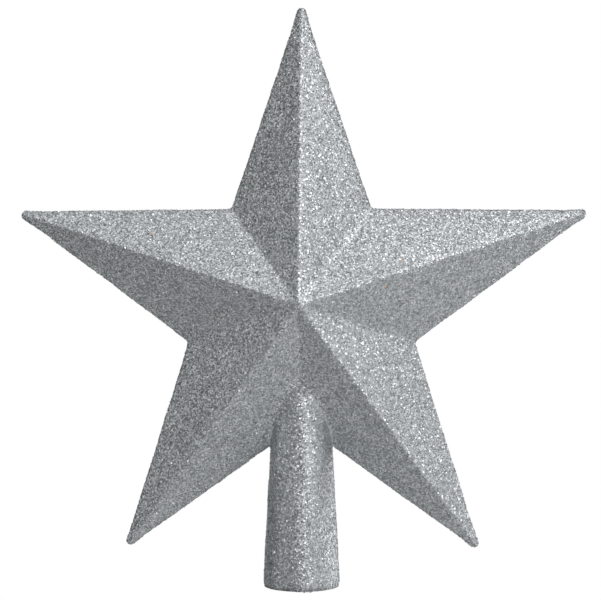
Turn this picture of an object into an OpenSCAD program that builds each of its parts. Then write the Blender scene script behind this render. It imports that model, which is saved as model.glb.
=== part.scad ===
// Glitter-coated five-pointed star that stands on top of a tree.
// Two hollow moulded halves are cemented around a tapered socket tube, and the
// whole outside carries a film of adhesive with glitter on it.
// The origin is the centre of the socket's mouth, +Z is up and the front faces -Y.

/* [Star] */
// Distance from the star's centre to the sharp point of each arm
point_r = 100; // [95:1:110]
// Distance from the star's centre to each notch between two arms
notch_r = 39; // [37:0.5:42]
// Radius that blunts each point, seen from the front
tip_round = 1.15; // [0.8:0.05:1.5]
// Distance from the parting plane to the peak of each face
half_depth = 22; // [21:0.5:24]
// Thickness of the blunt edge around the outline
edge_land = 1.8; // [1.6:0.1:2.2]
// Height of the star's centre above the socket's mouth
centre_z = 92; // [90:1:96]

/* [Socket] */
// Outer radius of the socket at its mouth, over the glitter
socket_r = 12.55; // [12:0.05:13]
// Narrowing of the socket's radius for each millimetre of height
socket_taper = 0.0545; // [0.05:0.0005:0.058]
// Height of the tube's closed top
socket_h = 80; // [78:0.5:81]
// Wall thickness of the tube
socket_wall = 1.3; // [1:0.1:1.6]

/* [Walls and coats] */
// Wall thickness of the two moulded halves
shell_wall = 1.4; // [1.2:0.1:1.6]
// Thickness of the layer of glitter
glitter_t = 0.3; // [0.2:0.05:0.4]
// Thickness of the adhesive film that holds the glitter
adhesive_t = 0.15; // [0.1:0.05:0.2]
// Thickness of the cement between the halves, and around the tube
cement_t = 0.2; // [0.15:0.05:0.3]

/* [Locating features] */
// Distance from the star's centre to the peg in each arm
peg_ring_r = 45; // [43:1:50]
// Diameter of each peg
peg_d = 3; // [2.5:0.1:3.2]
// Difference between the diameters of a peg and its hole
peg_play = 0.2; // [0.1:0.05:0.3]
// Length of peg that stands into the rear half
peg_reach = 5; // [4:0.5:6]
// Extra depth of each hole beyond its peg
peg_end_gap = 0.6; // [0.4:0.1:1]
// Diameter of the posts and bosses
boss_d = 6; // [5.5:0.1:7]
// Thickness of the webs that hold the tube
web_t = 1.4; // [1.2:0.1:1.6]
// Height of the lower web, which cradles the tube
cradle_z = 70; // [68:0.5:72]
// Half width of the webs
web_half_w = 14; // [12:0.5:15]

/* [Hidden] */
$fn = 96;
arms = 5;
arm_step = 360 / arms;
arc_steps = 6;
overrun = 2;    // how far a cutting solid runs past what it cuts
beyond = 300;   // larger than the whole object

// Half of an arm's angle at its point, and the facets' distance and slope
point_half_angle = atan(notch_r * sin(arm_step / 2) / (point_r - notch_r * cos(arm_step / 2)));
edge_d = point_r * sin(point_half_angle);
slope = (half_depth - edge_land / 2) / edge_d;
slope_stretch = sqrt(1 + slope * slope);

shell_inset = glitter_t + adhesive_t;
cavity_inset = shell_inset + shell_wall;
web_root_inset = shell_inset + shell_wall / 2;
peg_hole_depth = peg_reach + peg_end_gap;

// Where a facet set in by t meets the centre line, and the blunt edge's half thickness there
function peak(t) = half_depth - t * slope_stretch;
function edge_half(t) = edge_land / 2 - t * (slope_stretch - slope);
// Outer radius of the socket at a height, set in by t
function socket_radius(z, t) = socket_r - t - socket_taper * z;

// Star outline with blunt points, shrunk so that its edges lie at distance d
function outline(d) = [
    for (arm = [0:arms - 1])
        let (direction = 90 + arm * arm_step, round_at = point_r - tip_round / sin(point_half_angle))
        each [
            for (step = [-arc_steps:2:arc_steps])
                let (turn = direction + step / arc_steps * (90 - point_half_angle))
                d / edge_d * (round_at * [cos(direction), sin(direction)] + tip_round * [cos(turn), sin(turn)]),
            d / edge_d * notch_r * [cos(direction + arm_step / 2), sin(direction + arm_step / 2)]
        ]
];

// Turns a shape drawn with its outline in XY upright, its +Z side to the front
module upright() {
    translate([0, 0, centre_z]) rotate([90, 0, 0]) children();
}

// Double pyramid over the outline, with every face set in by t
module star_solid(t) {
    ring = outline(edge_d - t);
    n = len(ring);
    points = [
        for (side = [-1, 1]) each [for (p = ring) [p.x, p.y, side * edge_half(t)]],
        [0, 0, -peak(t)],
        [0, 0, peak(t)]
    ];
    faces = [
        for (i = [0:n - 1]) let (j = (i + 1) % n) each [
            [i, n + i, n + j, j],
            [i, j, 2 * n],
            [n + j, n + i, 2 * n + 1]
        ]
    ];
    upright() polyhedron(points, faces);
}

// Hollow of both halves: two pyramids base to base, parallel to the faces
module cavity() {
    ring = outline(peak(cavity_inset) / slope);
    n = len(ring);
    points = [for (p = ring) [p.x, p.y, 0], [0, 0, -peak(cavity_inset)], [0, 0, peak(cavity_inset)]];
    faces = [for (i = [0:n - 1]) let (j = (i + 1) % n) each [[i, j, n], [j, i, n + 1]]];
    upright() polyhedron(points, faces);
}

// Tapered rod along the socket's axis, set in by t, between two heights
module socket_rod(t, low, high) {
    translate([0, 0, low])
        cylinder(h = high - low, r1 = socket_radius(low, t), r2 = socket_radius(high, t));
}

// Everything behind or in front of the parting plane: side is 1 for the front
module half_space(side) {
    upright() translate([-beyond / 2, -beyond / 2, side > 0 ? cement_t / 2 : -beyond - cement_t / 2])
        cube(beyond);
}

module at_pegs() {
    upright() for (arm = [0:arms - 1])
        rotate([0, 0, 90 + arm * arm_step]) translate([peg_ring_r, 0, 0]) children();
}

// Post under each peg or around each hole, rooted in the wall
module posts() {
    intersection() {
        star_solid(web_root_inset);
        at_pegs() cylinder(h = 2 * half_depth, d = boss_d, center = true);
    }
}

// One web across the hollow, rooted in the wall
module web(z) {
    intersection() {
        star_solid(web_root_inset);
        translate([-web_half_w, -half_depth, z]) cube([2 * web_half_w, 2 * half_depth, web_t]);
    }
}

// Wall, posts and webs of one half, with the way for the tube cut out
module moulded_half(side) {
    intersection() {
        half_space(side);
        difference() {
            union() {
                difference() {
                    star_solid(shell_inset);
                    cavity();
                }
                posts();
                web(cradle_z);
                web(socket_h);
            }
            socket_rod(shell_inset - cement_t, -overrun, socket_h);
        }
    }
}

module front_shell() {
    color([0.72, 0.73, 0.75]) union() {
        moulded_half(1);
        at_pegs() translate([0, 0, -cement_t / 2 - peg_reach])
            cylinder(h = peg_reach + cement_t + overrun, d = peg_d);
    }
}

module rear_shell() {
    color([0.66, 0.67, 0.69]) difference() {
        moulded_half(-1);
        at_pegs() translate([0, 0, -cement_t / 2 - peg_hole_depth])
            cylinder(h = peg_hole_depth + overrun, d = peg_d + peg_play);
    }
}

module socket_tube() {
    color([0.6, 0.61, 0.63]) difference() {
        socket_rod(shell_inset, 0, socket_h);
        socket_rod(shell_inset + socket_wall, -overrun, socket_h - socket_wall);
    }
}

// Flat ribbon between the rims of the halves, and the sleeve of cement around the tube
module seam_cement() {
    color([0.9, 0.89, 0.82]) difference() {
        union() {
            intersection() {
                upright() translate([0, 0, -cement_t / 2]) linear_extrude(cement_t)
                    polygon(outline(edge_d - shell_inset));
                star_solid(shell_inset);
            }
            intersection() {
                star_solid(shell_inset);
                socket_rod(shell_inset - cement_t, 0, socket_h);
            }
        }
        cavity();
        socket_rod(shell_inset, -overrun, socket_h + overrun);
    }
}

// Outside form of star and socket, set in by t and running down to a height
module coated_form(t, low) {
    star_solid(t);
    socket_rod(t, low, socket_h - overrun);
}

module adhesive_coat() {
    color([0.82, 0.83, 0.84]) difference() {
        coated_form(glitter_t, 0);
        coated_form(shell_inset, -overrun);
    }
}

module glitter_coat() {
    color([0.74, 0.76, 0.78]) difference() {
        coated_form(0, 0);
        coated_form(glitter_t, -overrun);
    }
}

front_shell();
rear_shell();
socket_tube();
seam_cement();
adhesive_coat();
glitter_coat();
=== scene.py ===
"""Glitter-coated star tree topper: a rough glitter skin and loose flakes over the CAD pieces."""

import math

import bmesh
import bpy
import numpy as np
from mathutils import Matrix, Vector


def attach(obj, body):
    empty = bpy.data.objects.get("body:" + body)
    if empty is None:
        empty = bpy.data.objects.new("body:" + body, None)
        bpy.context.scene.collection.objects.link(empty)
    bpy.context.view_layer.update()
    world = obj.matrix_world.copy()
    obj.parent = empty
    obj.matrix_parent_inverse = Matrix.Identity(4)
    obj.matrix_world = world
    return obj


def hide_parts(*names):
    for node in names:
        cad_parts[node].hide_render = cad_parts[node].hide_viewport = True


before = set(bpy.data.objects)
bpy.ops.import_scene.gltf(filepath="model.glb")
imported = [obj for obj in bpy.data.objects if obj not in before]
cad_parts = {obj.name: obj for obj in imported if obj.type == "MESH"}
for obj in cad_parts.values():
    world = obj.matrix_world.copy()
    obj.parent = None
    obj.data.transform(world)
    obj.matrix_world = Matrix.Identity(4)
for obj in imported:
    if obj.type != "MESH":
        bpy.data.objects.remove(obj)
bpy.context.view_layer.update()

# Lengths are in millimetres, as in the design, and become metres when a mesh is built.
# Only the stage, at the end, is set out in metres.
MM = 0.001
rng = np.random.default_rng(1912)


# ---------------------------------------------------------------- sizes read from the frame

ON_PLANE = 0.01  # how near to a plane a vertex counts as on it
NEAR_POINT = 0.9  # share of an arm's length beyond which a vertex belongs to its point


def node_points(node):
    """A CAD node's vertices, in millimetres."""
    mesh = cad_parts[node].data
    points = np.empty(len(mesh.vertices) * 3)
    mesh.vertices.foreach_get("co", points)
    return points.reshape(-1, 3) / MM


coat = node_points("glitter_coat")
tube = node_points("socket_tube")
peak = coat[np.argmin(coat[:, 1])]
HALF_DEPTH, CENTRE_Z = -peak[1], peak[2]
EDGE_HALF = abs(coat[np.argmax(coat[:, 2]), 1])

ring = coat[(abs(abs(coat[:, 1]) - EDGE_HALF) < ON_PLANE) & (coat[:, 2] > CENTRE_Z)]
ring_r = np.hypot(ring[:, 0], ring[:, 2] - CENTRE_Z)
NOTCH_R = ring_r.min()
BLUNT_R = ring_r.max()
SECTOR = math.radians(36)  # from an arm's ridge to the next valley
# The first point of the top arm's rounding gives the line of its straight edge
at_point = (ring_r > NEAR_POINT * BLUNT_R) & (ring[:, 2] > CENTRE_Z + NEAR_POINT * BLUNT_R)
shoulder = ring[(ring[:, 0] > 0) & at_point]
shoulder = shoulder[np.argmax(shoulder[:, 0])]
notch_across, notch_along = NOTCH_R * math.sin(SECTOR), NOTCH_R * math.cos(SECTOR)
POINT_HALF_ANGLE = math.atan2(notch_across - shoulder[0], shoulder[2] - CENTRE_Z - notch_along)
POINT_R = notch_along + notch_across / math.tan(POINT_HALF_ANGLE)
EDGE_D = POINT_R * math.sin(POINT_HALF_ANGLE)
SLOPE = math.atan2(HALF_DEPTH - EDGE_HALF, EDGE_D)


def radii(points):
    """Distances from the socket's axis."""
    return np.hypot(points[:, 0], points[:, 1])


SOCKET_R = radii(coat[coat[:, 2] < ON_PLANE]).max()
tube_mouth = radii(tube[tube[:, 2] < ON_PLANE])
TUBE_OUTER_R, TUBE_INNER_R = tube_mouth.max(), tube_mouth.min()
TUBE_TOP = tube[:, 2].max()
TAPER = (TUBE_OUTER_R - radii(tube[tube[:, 2] > TUBE_TOP - ON_PLANE]).max()) / TUBE_TOP


# ---------------------------------------------------------------- form of the coated star

RIDGE_SOFTNESS = 0.42
VALLEY_SOFTNESS = 0.6
TIP_SOFTNESS = 0.3
TIP_ROUND = 0.9
TIP_FULLNESS = 0.6  # extra glitter held on each point
TIP_REACH = 9  # over this distance from the point's end
EDGE_BLEND = 0.45
FILLET_LOW, FILLET_HIGH = 0.5, 1.9  # where the tube leaves the star, and at its closed top
FILLET_LOW_Z, FILLET_HIGH_Z = 47, 62
RIM_ROUND = 1.1
RIM_COAT = 0.3  # how far the glitter stands below the tube's rim
DRIP_DEPTH, DRIP_X, DRIP_WIDTH = 0.5, 1.9, 3.0


def smooth_max(a, b, radius):
    """The larger of a and b, with their meeting rounded over about that radius."""
    return (a + b + np.sqrt((a - b) ** 2 + radius**2)) / 2


def smooth_min(a, b, radius):
    """The smaller of a and b, rounded over in the same way."""
    return -smooth_max(-a, -b, radius)


def star_field(p):
    """Rough signed distance from the star's surface, negative inside."""
    x, up, depth = p[:, 0], p[:, 2] - CENTRE_Z, abs(p[:, 1])
    from_centre = np.hypot(x, up)
    from_ridge = abs(np.mod(np.arctan2(x, up) + SECTOR, 2 * SECTOR) - SECTOR)
    # Along the valley and away from it, then along and across the arm
    valley_along = from_centre * np.cos(SECTOR - from_ridge)
    valley_away = np.hypot(from_centre * np.sin(SECTOR - from_ridge), VALLEY_SOFTNESS)
    along = valley_along * math.cos(SECTOR) + valley_away * math.sin(SECTOR)
    across = valley_along * math.sin(SECTOR) - valley_away * math.cos(SECTOR)
    normal_along, normal_across = math.sin(POINT_HALF_ANGLE), math.cos(POINT_HALF_ANGLE)
    near_tip = np.clip((along - BLUNT_R + TIP_REACH) / TIP_REACH, 0, 1)
    edge = normal_along * along - EDGE_D - TIP_FULLNESS * near_tip**2
    side = edge + normal_across * np.hypot(across, TIP_SOFTNESS)
    side = smooth_max(side, along - BLUNT_R, TIP_ROUND)
    side_at_ridge = edge + normal_across * np.hypot(across, RIDGE_SOFTNESS)
    face = side_at_ridge * math.sin(SLOPE) + (depth - EDGE_HALF) * math.cos(SLOPE)
    return smooth_max(face, side, EDGE_BLEND)


def socket_field(p):
    """Rough signed distance from the coated tube, with a rounded rim and a drip on its front."""
    wall = (np.hypot(p[:, 0], p[:, 1]) - SOCKET_R + TAPER * p[:, 2]) * math.cos(math.atan(TAPER))
    drip = DRIP_DEPTH * np.exp(-(((p[:, 0] - DRIP_X) / DRIP_WIDTH) ** 2)) * (p[:, 1] < 0)
    return np.maximum(smooth_max(wall, -p[:, 2] - RIM_COAT - drip, RIM_ROUND), p[:, 2] - TUBE_TOP)


WAVES = 14
WAVE_LENGTH_LOW, WAVE_LENGTH_HIGH = 7, 20
WAVE_HEIGHT = 0.018
wave_directions = rng.normal(size=(WAVES, 3))
wave_directions /= np.linalg.norm(wave_directions, axis=1)[:, None]
wave_lengths = rng.uniform(WAVE_LENGTH_LOW, WAVE_LENGTH_HIGH, WAVES)
wave_starts = rng.uniform(0, 2 * math.pi, WAVES)


def unevenness(p):
    """Slow waves of the coat's thickness."""
    phase = p @ (wave_directions / wave_lengths[:, None]).T * 2 * math.pi + wave_starts
    return WAVE_HEIGHT * np.sin(phase).sum(1)


def coated_field(p):
    """The star and its tube as one rough signed distance, blended and slightly uneven."""
    rise = np.clip((p[:, 2] - FILLET_LOW_Z) / (FILLET_HIGH_Z - FILLET_LOW_Z), 0, 1)
    fillet = FILLET_LOW + (FILLET_HIGH - FILLET_LOW) * rise
    return smooth_min(star_field(p), socket_field(p), fillet) - unevenness(p)


def gradient(field, p, reach=0.05):
    """The field's slope at each point, from samples that far to each side."""
    out = np.empty_like(p)
    for axis in range(3):
        step = np.zeros(3)
        step[axis] = reach
        out[:, axis] = (field(p + step) - field(p - step)) / (2 * reach)
    return out


def normals_at(p):
    """The coated surface's outward normals."""
    g = gradient(coated_field, p)
    return g / np.linalg.norm(g, axis=1)[:, None]


STEEPNESS_FLOOR = 0.05  # keeps a step short where the field is nearly flat


def settle(p, rounds=2):
    """Moves points onto the surface."""
    for _ in range(rounds):
        g = gradient(coated_field, p)
        p = p - g * (coated_field(p) / np.maximum((g**2).sum(1), STEEPNESS_FLOOR))[:, None]
    return p


# ---------------------------------------------------------------- meshing


def surface_net(field, low, high, step, turn):
    """Points and quads on the surface of a field, from a grid turned by that angle about Y."""
    c, s = math.cos(turn), math.sin(turn)
    to_row = np.array([[c, 0, -s], [0, 1, 0], [s, 0, c]])
    axes = [np.arange(low[i], high[i] + step, step) for i in range(3)]
    across, up = np.meshgrid(axes[1], axes[2], indexing="ij")
    slab = np.column_stack([np.zeros(across.size), across.ravel(), up.ravel()])
    values = np.empty([len(a) for a in axes], np.float32)
    for i, x in enumerate(axes[0]):
        slab[:, 0] = x
        values[i] = field(slab @ to_row + [0, 0, CENTRE_Z]).reshape(across.shape)
    inside = values < 0

    corners = np.array([[i, j, k] for i in (0, 1) for j in (0, 1) for k in (0, 1)])
    cells = np.array(values.shape) - 1
    count = np.zeros(cells, np.int8)
    for i, j, k in corners:
        count += inside[i : i + cells[0], j : j + cells[1], k : k + cells[2]]
    active = np.argwhere((count > 0) & (count < 8))
    numbers = np.full(cells, -1, np.int32)
    numbers[tuple(active.T)] = np.arange(len(active))

    at_corner = [values[tuple((active + corner).T)] for corner in corners]
    total, crossings = np.zeros((len(active), 3)), np.zeros(len(active))
    for a, corner_a in enumerate(corners):
        for b, corner_b in enumerate(corners):
            if (corner_b - corner_a).sum() == 1 and abs(corner_b - corner_a).sum() == 1:
                cut = (at_corner[a] < 0) != (at_corner[b] < 0)
                share = np.where(cut, at_corner[a] / (at_corner[a] - at_corner[b] + 1e-20), 0)
                total += cut[:, None] * (corner_a + share[:, None] * (corner_b - corner_a))
                crossings += cut
    points = (active + total / crossings[:, None]) * step + np.array(low)

    quads = []
    for axis in range(3):
        near, far = [slice(None)] * 3, [slice(None)] * 3
        near[axis], far[axis] = slice(None, -1), slice(1, None)
        low_in = inside[tuple(near)]
        edges = np.argwhere(low_in != inside[tuple(far)])
        b, c_axis = (axis + 1) % 3, (axis + 2) % 3
        loop = []
        for db, dc in ((-1, -1), (0, -1), (0, 0), (-1, 0)):
            cell = edges.copy()
            cell[:, b] += db
            cell[:, c_axis] += dc
            loop.append(numbers[tuple(cell.T)])
        quad = np.column_stack(loop)
        outward = low_in[tuple(edges.T)]
        quads.append(np.where(outward[:, None], quad, quad[:, ::-1]))
    return points @ to_row + [0, 0, CENTRE_Z], np.concatenate(quads)


RELAX_SHARE = 0.6  # of the way to the middle, in each round


def spread_evenly(p, quads, rounds):
    """Slides points along the surface towards the middle of their neighbours."""
    a = np.concatenate([quads[:, i] for i in range(4)])
    b = np.concatenate([quads[:, (i + 1) % 4] for i in range(4)])
    ends, others = np.concatenate([a, b]), np.concatenate([b, a])
    weight = np.bincount(ends, minlength=len(p))
    for _ in range(rounds):
        middle = np.column_stack([np.bincount(ends, p[others, i], len(p)) for i in range(3)])
        p = settle(p + RELAX_SHARE * (middle / weight[:, None] - p), 1)
    return p


def split_quads(p, quads):
    """Two triangles from each quad, across its shorter diagonal."""
    first = np.linalg.norm(p[quads[:, 0]] - p[quads[:, 2]], axis=1)
    second = np.linalg.norm(p[quads[:, 1]] - p[quads[:, 3]], axis=1)
    turned = np.where((first <= second)[:, None], quads, np.roll(quads, -1, axis=1))
    return np.concatenate([turned[:, [0, 1, 2]], turned[:, [0, 2, 3]]])


def make_piece(name, points, faces, materials, slots=None):
    """A flat-shaded piece on the one body, from millimetres; slots picks each face's material."""
    mesh = bpy.data.meshes.new(name)
    mesh.from_pydata(points * MM, [], faces)
    for material in materials:
        mesh.materials.append(material)
    if slots is not None:
        mesh.polygons.foreach_set("material_index", slots)
    mesh.update()
    piece = bpy.data.objects.new(name, mesh)
    bpy.context.scene.collection.objects.link(piece)
    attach(piece, "root")
    return piece


# ---------------------------------------------------------------- materials


class Nodes:
    """A new material whose nodes are made and linked by short calls."""

    def __init__(self, name):
        self.material = bpy.data.materials.new(name)
        self.material.use_nodes = True
        self.tree = self.material.node_tree
        self.shader = self.tree.nodes["Principled BSDF"]

    def add(self, kind, **settings):
        node = self.tree.nodes.new("ShaderNode" + kind)
        for key, value in settings.items():
            setattr(node, key, value)
        return node

    def put(self, target, value):
        """Sets a socket, or links another socket into it."""
        if isinstance(value, bpy.types.NodeSocket):
            self.tree.links.new(value, target)
        else:
            target.default_value = value

    def vector(self, operation, a, b=(0, 0, 0), scale=None):
        node = self.add("VectorMath", operation=operation)
        self.put(node.inputs[0], a)
        self.put(node.inputs[1], b)
        if scale is not None:
            node.inputs["Scale"].default_value = scale
        return node.outputs[0]

    def ramp(self, factor, stops):
        """Colours at places along a factor."""
        node = self.add("ValToRGB")
        elements = node.color_ramp.elements
        while len(elements) < len(stops):
            elements.new(0.5)
        for element, (place, colour) in zip(elements, stops):
            element.position = place
            element.color = (*colour, 1)
        self.put(node.inputs[0], factor)
        return node.outputs["Color"]

    def spread(self, factor, low, high):
        """Maps 0 to 1 onto a range."""
        node = self.add("MapRange")
        self.put(node.inputs["Value"], factor)
        node.inputs["To Min"].default_value = low
        node.inputs["To Max"].default_value = high
        return node.outputs["Result"]


FLAKE_WIDTH = 0.42
GLITTER_ROUGH_LOW, GLITTER_ROUGH_HIGH = 0.36, 0.6
GLITTER_TILT = 0.42
FLAKE_TONES = [
    (0.1, (0.422, 0.443, 0.451)),
    (0.45, (0.513, 0.538, 0.550)),
    (0.6, (0.653, 0.678, 0.695)),
    (1.0, (0.803, 0.828, 0.848)),
]


def glitter_material():
    """Packed flakes: each cell of the pattern has its own tone, gloss and tilt."""
    m = Nodes("glitter_layer")
    place = m.add("TexCoord").outputs["Object"]
    cells = m.add("TexVoronoi", feature="F1", distance="EUCLIDEAN")
    m.put(cells.inputs["Vector"], place)
    cells.inputs["Scale"].default_value = 1 / (FLAKE_WIDTH * MM)
    split = m.add("SeparateColor")
    m.put(split.inputs[0], cells.outputs["Color"])
    tone = m.ramp(split.outputs[0], FLAKE_TONES)
    m.put(m.shader.inputs["Base Color"], tone)
    gloss = m.spread(split.outputs[1], GLITTER_ROUGH_LOW, GLITTER_ROUGH_HIGH)
    m.put(m.shader.inputs["Roughness"], gloss)
    m.shader.inputs["Metallic"].default_value = 1.0
    tilt = m.vector("SUBTRACT", cells.outputs["Color"], (0.5, 0.5, 0.5))
    tilt = m.vector("SCALE", tilt, scale=GLITTER_TILT)
    normal = m.vector("NORMALIZE", m.vector("ADD", m.add("NewGeometry").outputs["Normal"], tilt))
    m.put(m.shader.inputs["Normal"], normal)
    return m.material


def flake_material(name, colour, roughness):
    """One metallised foil; the tone on a flake varies with how it lies."""
    m = Nodes(name)
    m.shader.inputs["Base Color"].default_value = (*colour, 1)
    m.shader.inputs["Metallic"].default_value = 1.0
    m.shader.inputs["Roughness"].default_value = roughness
    return m.material


FLOW_SCALE = 90  # flow marks in each metre
FLOW_DETAIL = 4
FLOW_SHADE = 0.86
FLOW_LOW, FLOW_HIGH = 0.3, 0.7
ROUGHNESS_SPREAD = 0.08
GRAIN_SCALE = 2500
GRAIN_STRENGTH = 0.2
GRAIN_DEPTH = 0.02


def plastic_material(name, colour, roughness):
    """Moulded plastic with faint flow marks and a fine grain."""
    m = Nodes(name)
    place = m.add("TexCoord").outputs["Object"]
    flow = m.add("TexNoise")
    m.put(flow.inputs["Vector"], place)
    flow.inputs["Scale"].default_value = FLOW_SCALE
    flow.inputs["Detail"].default_value = FLOW_DETAIL
    darker = tuple(c * FLOW_SHADE for c in colour)
    shade = m.ramp(flow.outputs["Fac"], [(FLOW_LOW, darker), (FLOW_HIGH, colour)])
    m.put(m.shader.inputs["Base Color"], shade)
    gloss = m.spread(flow.outputs["Fac"], roughness - ROUGHNESS_SPREAD, roughness + ROUGHNESS_SPREAD)
    m.put(m.shader.inputs["Roughness"], gloss)
    grain = m.add("TexNoise")
    m.put(grain.inputs["Vector"], place)
    grain.inputs["Scale"].default_value = GRAIN_SCALE
    bump = m.add("Bump")
    bump.inputs["Strength"].default_value = GRAIN_STRENGTH
    bump.inputs["Distance"].default_value = GRAIN_DEPTH * MM
    m.put(bump.inputs["Height"], grain.outputs["Fac"])
    m.put(m.shader.inputs["Normal"], bump.outputs["Normal"])
    return m.material


# ---------------------------------------------------------------- the glitter skin

NET_STEP = 0.72
NET_TURN = math.radians(9)
NET_MARGIN = 3.0
RELAX_ROUNDS = 6
SKIN_JITTER, SKIN_SLIDE = 0.07, 0.06  # roughness away from the surface and along it
MOUTH_R = TUBE_INNER_R + 0.2  # where the coat ends on the tube's rim
MOUTH_Z = -0.02
MOUTH_CUT_Z = 0.4  # inside the mouth, the net below this height is left out
WELD = 0.002


def inner_sheet():
    """The coat's inner side, from the CAD node: points, and triangles that face inwards."""
    sheet = bmesh.new()
    sheet.from_mesh(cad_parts["glitter_coat"].data)
    bmesh.ops.remove_doubles(sheet, verts=sheet.verts, dist=WELD * MM)
    bmesh.ops.triangulate(sheet, faces=sheet.faces)
    # Without the flat end at the mouth, the outer side is what hangs together with the peak
    flat_end = [f for f in sheet.faces if all(v.co.z < WELD * MM for v in f.verts)]
    bmesh.ops.delete(sheet, geom=flat_end, context="FACES")
    reached = {min(sheet.verts, key=lambda v: v.co.y)}
    front = list(reached)
    while front:
        near = {e.other_vert(v) for v in front for e in v.link_edges} - reached
        reached |= near
        front = list(near)
    bmesh.ops.delete(sheet, geom=list(reached), context="VERTS")
    sheet.verts.index_update()
    points = np.array([v.co for v in sheet.verts]) / MM
    tris = np.array([[v.index for v in face.verts] for face in sheet.faces])
    sheet.free()
    return points, tris


def rim_loop(points, faces):
    """The vertices of the one open edge, in order round the socket's axis."""
    edges = np.concatenate([faces[:, [i, (i + 1) % faces.shape[1]]] for i in range(faces.shape[1])])
    key = np.sort(edges, axis=1)
    _, where, count = np.unique(key, axis=0, return_index=True, return_counts=True)
    loop = np.unique(edges[where[count == 1]])
    return loop[np.argsort(np.arctan2(points[loop, 1], points[loop, 0]))]


def join_loops(points, outer, inner):
    """A ring of triangles between two loops that run the same way round."""
    angle = np.arctan2(points[:, 1], points[:, 0])
    tris, i, j = [], 0, 0
    while i < len(outer) or j < len(inner):
        next_outer = angle[outer[(i + 1) % len(outer)]] + (2 * math.pi if i + 1 >= len(outer) else 0)
        next_inner = angle[inner[(j + 1) % len(inner)]] + (2 * math.pi if j + 1 >= len(inner) else 0)
        a, b = outer[i % len(outer)], inner[j % len(inner)]
        if j >= len(inner) or (i < len(outer) and next_outer <= next_inner):
            tris.append((a, b, outer[(i + 1) % len(outer)]))
            i += 1
        else:
            tris.append((a, b, inner[(j + 1) % len(inner)]))
            j += 1
    return np.array(tris)


def skin():
    """Builds the closed, rough skin, and returns its outer points and triangles."""
    low = np.array([-BLUNT_R - NET_MARGIN, -HALF_DEPTH - NET_MARGIN, -BLUNT_R - NET_MARGIN])
    points, quads = surface_net(coated_field, low, -low, NET_STEP, NET_TURN)
    points = spread_evenly(settle(points), quads, RELAX_ROUNDS)
    # Open the socket's mouth and square the coat's edge there
    middle = points[quads].mean(1)
    closed = (middle[:, 2] < MOUTH_CUT_Z) & (radii(middle) < MOUTH_R)
    quads = quads[~closed]
    used, quads = np.unique(quads, return_inverse=True)
    points, quads = points[used], quads.reshape(-1, 4)
    loop = rim_loop(points, quads)
    normals = normals_at(points)
    jitter = rng.uniform(-1, 1, len(points)) * SKIN_JITTER
    slide = rng.normal(size=points.shape)
    slide -= (slide * normals).sum(1)[:, None] * normals
    rough = points + normals * jitter[:, None] + slide * SKIN_SLIDE
    around = np.arctan2(points[loop, 1], points[loop, 0])
    level = np.full(len(loop), MOUTH_Z)
    rough[loop] = np.column_stack([MOUTH_R * np.cos(around), MOUTH_R * np.sin(around), level])
    outer_tris = split_quads(rough, quads)

    back_points, back_tris = inner_sheet()
    back_loop = rim_loop(back_points, back_tris) + len(rough)
    all_points = np.concatenate([rough, back_points])
    band = join_loops(all_points, loop, back_loop)
    tris = np.concatenate([outer_tris, back_tris + len(rough), band])
    piece = make_piece("glitter_skin", all_points, tris, [glitter_material()])
    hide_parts("glitter_coat")
    return rough, outer_tris


# ---------------------------------------------------------------- loose flakes

FLAKES_PER_PIECE = 19500
FLAKE_PIECES = 4
FLAKE_R_LOW, FLAKE_R_HIGH = 0.22, 0.35
FLAKE_CORNERS = 6
FLAKE_SINK = 0.7  # depth of a flake's lower point, as a share of its radius
FLAKE_TOP = [(0, i, i + 1) for i in range(1, FLAKE_CORNERS - 1)]
FLAKE_SIDES = [(FLAKE_CORNERS, (i + 1) % FLAKE_CORNERS, i) for i in range(FLAKE_CORNERS)]
FLAKE_FACES = FLAKE_TOP + FLAKE_SIDES
FLAKE_LEAN = 0.22
STEEP_SHARE, STEEP_LEAN = 0.06, 0.7
LEAN_SPREAD = 0.8  # of the stated lean, along each axis
LIFT_LOW, LIFT_HIGH = 0.02, 0.1  # how far a flake lies above the skin
FOIL_SHARES = [0.3, 0.4, 0.3]  # bright, silver and dull
SPECKS = 26
SPECK_SHARES = [0.7, 0.3]  # green and orange
OVERSPRAY_FLAKES, OVERSPRAY_REACH = 420, 1.8
OVERSPRAY_LIFT = 0.04


def flake_mesh(centres, normals, sizes):
    """Flakes with a flat top and a point sunk into the skin below, as points and triangles."""
    n = len(centres)
    spin = rng.normal(size=(n, 3))
    u = np.cross(normals, spin)
    u /= np.linalg.norm(u, axis=1)[:, None]
    v = np.cross(normals, u)
    points = np.empty((n, FLAKE_CORNERS + 1, 3))
    for corner in range(FLAKE_CORNERS):
        angle = corner * 2 * math.pi / FLAKE_CORNERS
        points[:, corner] = centres + sizes[:, None] * (math.cos(angle) * u + math.sin(angle) * v)
    points[:, FLAKE_CORNERS] = centres - normals * (sizes * FLAKE_SINK)[:, None]
    tris = (np.arange(n) * (FLAKE_CORNERS + 1))[:, None, None] + np.array(FLAKE_FACES)[None]
    return points.reshape(-1, 3), tris.reshape(-1, 3)


def lean(normals, amount):
    """Normals tipped at random by about that much."""
    tipped = normals + rng.normal(size=normals.shape) * np.reshape(amount, (-1, 1)) * LEAN_SPREAD
    return tipped / np.linalg.norm(tipped, axis=1)[:, None]


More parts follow.
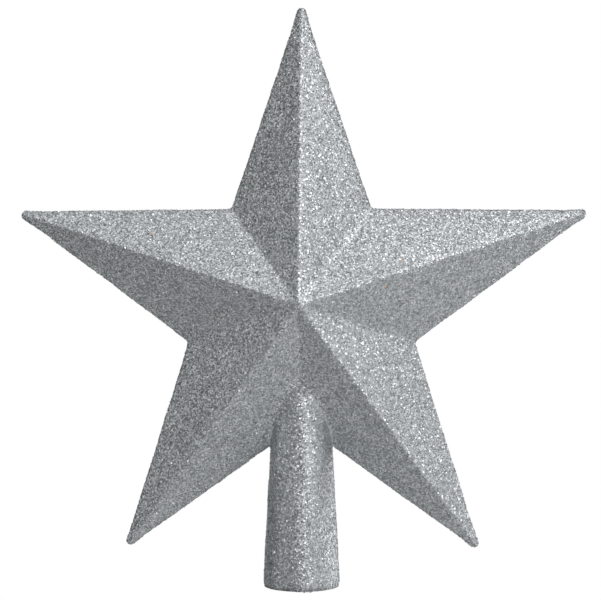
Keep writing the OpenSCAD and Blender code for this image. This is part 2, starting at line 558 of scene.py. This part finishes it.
def scatter(points, tris, count):
    """Random places on the triangles, evenly by area, with the surface's normals there."""
    a, b, c = (points[tris[:, i]] for i in range(3))
    area = np.linalg.norm(np.cross(b - a, c - a), axis=1)
    chosen = rng.choice(len(tris), count, p=area / area.sum())
    s, t = rng.random(count), rng.random(count)
    flip = s + t > 1
    s[flip], t[flip] = 1 - s[flip], 1 - t[flip]
    where = a[chosen] + s[:, None] * (b - a)[chosen] + t[:, None] * (c - a)[chosen]
    return where, normals_at(where)


def scatter_flakes(name, points, tris, count, finishes, shares):
    """Loose flakes lying on the skin, most of them nearly flat on it."""
    where, normals = scatter(points, tris, count)
    steep = rng.random(count) < STEEP_SHARE
    tipped = lean(normals, np.where(steep, STEEP_LEAN, FLAKE_LEAN))
    centres = where + normals * rng.uniform(LIFT_LOW, LIFT_HIGH, count)[:, None]
    lay(name, centres, tipped, finishes, shares)


def lay(name, centres, tipped, finishes, shares):
    """Makes one piece of flakes at those places, with finishes dealt out by their shares."""
    sizes = rng.uniform(FLAKE_R_LOW, FLAKE_R_HIGH, len(centres))
    flake_points, flake_tris = flake_mesh(centres, tipped, sizes)
    finish = rng.choice(len(finishes), len(centres), p=shares)
    make_piece(name, flake_points, flake_tris, finishes, np.repeat(finish, len(FLAKE_FACES)))


def overspray(finishes, shares):
    """Stray flakes on the tube's inner wall, fewer with depth."""
    depth = rng.exponential(OVERSPRAY_REACH, OVERSPRAY_FLAKES)
    around = rng.uniform(0, 2 * math.pi, OVERSPRAY_FLAKES)
    inwards = np.column_stack([-np.cos(around), -np.sin(around), np.zeros(OVERSPRAY_FLAKES)])
    centres = -inwards * (TUBE_INNER_R - TAPER * depth - OVERSPRAY_LIFT)[:, None]
    centres[:, 2] = depth
    lay("glitter_overspray", centres, lean(inwards, FLAKE_LEAN), finishes, shares)


def flakes(points, tris):
    """All the loose flakes: on the skin, a few coloured strays, and inside the mouth."""
    foils = [
        flake_material("flake_bright", (0.863, 0.883, 0.903), 0.28),
        flake_material("flake_silver", (0.663, 0.688, 0.706), 0.36),
        flake_material("flake_dull", (0.422, 0.443, 0.453), 0.48),
    ]
    for part in range(FLAKE_PIECES):
        scatter_flakes(f"glitter_flakes_{part + 1}", points, tris, FLAKES_PER_PIECE, foils, FOIL_SHARES)
    specks = [
        flake_material("speck_green", (0.22, 0.55, 0.33), 0.3),
        flake_material("speck_orange", (0.85, 0.42, 0.16), 0.3),
    ]
    scatter_flakes("coloured_specks", points, tris, SPECKS, specks, SPECK_SHARES)
    overspray(foils, FOIL_SHARES)


skin_points, skin_tris = skin()
flakes(skin_points, skin_tris)


# ---------------------------------------------------------------- CAD pieces under the glitter


def finish_node(node, material):
    """Gives a carried-over CAD node its material."""
    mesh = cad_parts[node].data
    mesh.materials.clear()
    mesh.materials.append(material)


shell_plastic = plastic_material("shell_plastic", (0.62, 0.63, 0.65), 0.42)
finish_node("front_shell", shell_plastic)
finish_node("rear_shell", shell_plastic)
finish_node("socket_tube", plastic_material("socket_plastic", (0.58, 0.59, 0.61), 0.4))
finish_node("seam_cement", plastic_material("cured_cement", (0.80, 0.78, 0.70), 0.25))
finish_node("adhesive_coat", plastic_material("adhesive_film", (0.55, 0.56, 0.57), 0.2))


# ---------------------------------------------------------------- stage, light and camera

CENTRE = np.array([0, 0, CENTRE_Z]) * MM
FLOOR_Z = -0.3
FLOOR_R = 0.75
FLOOR_CORNERS = 96
FLOOR_GREY = 0.68
FLOOR_GLOW = 0.3
# Share of a ray's direction along +Y where the world's glow begins, and where it is full
GLOW_FROM, GLOW_TO = 0.2, 0.9
CAMERA_AZIMUTH = math.radians(2.7)
CAMERA_DISTANCE = 0.527
CAMERA_LENS = 96.14
AIM_ABOVE_CENTRE = 0.00163
AIM_LEFT_OF_CENTRE = 0.00033
SENSOR_WIDTH = 36


def add_floor():
    """A pale round floor, paler to the camera than in the light that it throws back on the star."""
    mesh = bpy.data.meshes.new("floor")
    circle = [2 * math.pi * i / FLOOR_CORNERS for i in range(FLOOR_CORNERS)]
    rim = [(FLOOR_R * math.cos(a), FLOOR_R * math.sin(a), FLOOR_Z) for a in circle]
    mesh.from_pydata(rim, [], [range(FLOOR_CORNERS)])
    floor = bpy.data.objects.new("floor", mesh)
    bpy.context.scene.collection.objects.link(floor)
    m = Nodes("pale_floor")
    m.shader.inputs["Base Color"].default_value = (FLOOR_GREY, FLOOR_GREY, FLOOR_GREY, 1)
    m.shader.inputs["Roughness"].default_value = 0.9
    m.shader.inputs["Emission Color"].default_value = (1, 1, 1, 1)
    seen = m.add("LightPath").outputs["Is Camera Ray"]
    m.put(m.shader.inputs["Emission Strength"], m.spread(seen, 0, FLOOR_GLOW))
    mesh.materials.append(m.material)


def add_light(name, azimuth, elevation, power, size=0.8, distance=1.0):
    """A square soft light that looks at the star's centre; azimuth 0 is in front and 90 to the right."""
    light = bpy.data.lights.new(name, "AREA")
    light.size, light.energy = size, power
    lamp = bpy.data.objects.new(name, light)
    a, e = math.radians(azimuth), math.radians(elevation)
    back = np.array([math.sin(a) * math.cos(e), -math.cos(a) * math.cos(e), math.sin(e)])
    lamp.location = CENTRE + back * distance
    lamp.rotation_mode = "QUATERNION"
    lamp.rotation_quaternion = Vector(-back).to_track_quat("-Z", "Y")
    bpy.context.scene.collection.objects.link(lamp)


def add_world(backdrop, behind, before):
    """A white backdrop for the camera; other rays meet a softer glow, stronger behind the star."""
    world = bpy.data.worlds.new("studio")
    world.use_nodes = True
    tree = world.node_tree
    shader = tree.nodes["Background"]
    shader.inputs["Color"].default_value = (1, 1, 1, 1)
    place = tree.nodes.new("ShaderNodeTexCoord")
    split = tree.nodes.new("ShaderNodeSeparateXYZ")
    tree.links.new(place.outputs["Generated"], split.inputs[0])
    glow = tree.nodes.new("ShaderNodeMapRange")
    glow.inputs["From Min"].default_value = GLOW_FROM
    glow.inputs["From Max"].default_value = GLOW_TO
    glow.inputs["To Min"].default_value = before
    glow.inputs["To Max"].default_value = behind
    tree.links.new(split.outputs["Y"], glow.inputs["Value"])
    path = tree.nodes.new("ShaderNodeLightPath")
    mix = tree.nodes.new("ShaderNodeMix")
    mix.inputs["B"].default_value = backdrop
    tree.links.new(path.outputs["Is Camera Ray"], mix.inputs["Factor"])
    tree.links.new(glow.outputs["Result"], mix.inputs["A"])
    tree.links.new(mix.outputs["Result"], shader.inputs["Strength"])
    bpy.context.scene.world = world


def add_camera():
    """Looks from in front and slightly to the right, at the height of the star's centre."""
    camera = bpy.data.cameras.new("camera")
    camera.lens, camera.sensor_width = CAMERA_LENS, SENSOR_WIDTH
    camera.clip_start, camera.clip_end = 0.01, 20
    eye = bpy.data.objects.new("camera", camera)
    back = np.array([math.sin(CAMERA_AZIMUTH), -math.cos(CAMERA_AZIMUTH), 0])
    eye.location = CENTRE + [-AIM_LEFT_OF_CENTRE, 0, AIM_ABOVE_CENTRE] + back * CAMERA_DISTANCE
    eye.rotation_mode = "QUATERNION"
    eye.rotation_quaternion = Vector(-back).to_track_quat("-Z", "Y")
    bpy.context.scene.collection.objects.link(eye)
    bpy.context.scene.camera = eye


add_floor()
add_world(backdrop=1.0, behind=0.5, before=0.02)
add_light("front_top", azimuth=0, elevation=55, power=5.8, size=1.6)
add_light("upper_right", azimuth=60, elevation=45, power=1.8)
add_light("front_right", azimuth=30, elevation=20, power=2.7)
add_light("low_right", azimuth=90, elevation=-12, power=1.9)
add_light("low_front", azimuth=25, elevation=-22, power=1.5)
add_light("left", azimuth=-60, elevation=5, power=1.25)
add_light("rim_right", azimuth=118, elevation=0, power=1.7)
add_light("back_top", azimuth=200, elevation=55, power=1.6, size=1.0, distance=1.1)
add_camera()
bpy.context.scene.view_settings.view_transform = "Standard"
